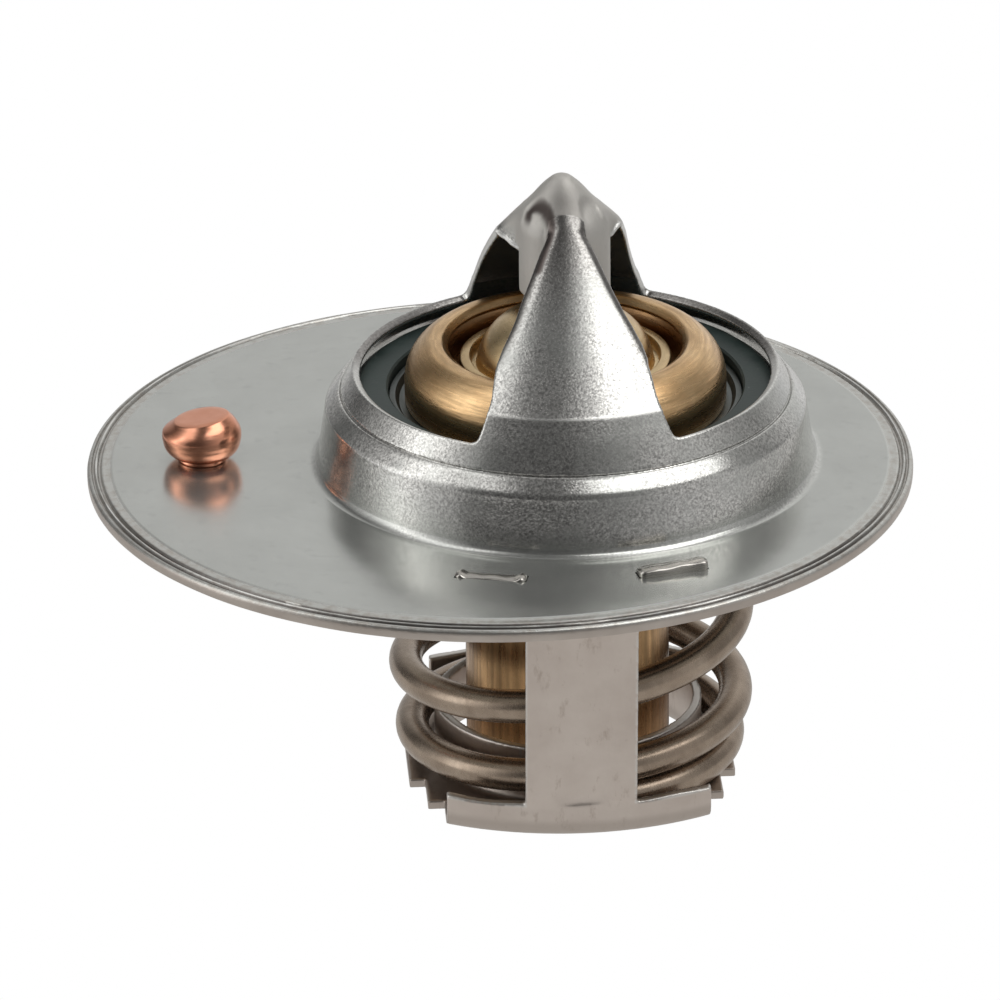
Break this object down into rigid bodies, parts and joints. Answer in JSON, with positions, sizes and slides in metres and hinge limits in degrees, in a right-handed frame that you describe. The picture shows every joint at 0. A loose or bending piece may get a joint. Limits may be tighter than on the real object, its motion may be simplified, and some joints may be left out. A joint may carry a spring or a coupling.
{
  "type": "engine thermostat",
  "caption": "Engine thermostat: round flange set off-centre, pointed hood over a spring-loaded wax valve, folded sheet frame below and a loose vent pin in the flange.",
  "frame": {"origin": "centre of the flange's rim, on the flange's top face", "axes": "+Z along the valve axis, towards the hood's tip; -Y is the front, and +X points from the flange's centre to the valve axis, which stands 4.15 mm off it"},
  "size_m": [0.052, 0.052, 0.0399],
  "materials": {
    "housing_steel": "satin flange, grained bright collar and hood",
    "frame_steel": "satin, slightly warm",
    "spring_steel": "oxidised brown wire",
    "piston_steel": "ground",
    "disc_steel": "satin",
    "seal_rubber": "smooth, nearly black",
    "cup_brass": "turned and slightly scratched",
    "guide_brass": "yellowish, satin",
    "ring_plastic": "plain",
    "sleeve_rubber": "smooth",
    "wax": "waxy, filled with fine metal powder",
    "pin_copper": "copper coloured, satin"
  },
  "bodies": {
    "housing": {"flange_housing": "housing_steel", "lower_frame": "frame_steel", "main_spring": "spring_steel", "piston": "piston_steel"},
    "valve": {"valve_disc": "disc_steel", "valve_seal": "seal_rubber", "wax_cup": "cup_brass", "guide": "guide_brass", "back_up_ring": "ring_plastic", "rubber_sleeve": "sleeve_rubber", "wax_charge": "wax"},
    "vent_pin": {"jiggle_pin": "pin_copper"}
  },
  "joints": [
    {"name": "valve_lift", "type": "slide", "parent": "housing", "child": "valve", "axis": [0, 0, -1], "range_m": [0, 0.008], "stiffness_N_per_m": 3000, "springref_m": -0.001, "deforming": ["main_spring"]},
    {"name": "vent_pin_lift", "type": "slide", "parent": "housing", "child": "vent_pin", "axis": [0, 0, 1], "range_m": [0, 0.0012]}
  ]
}
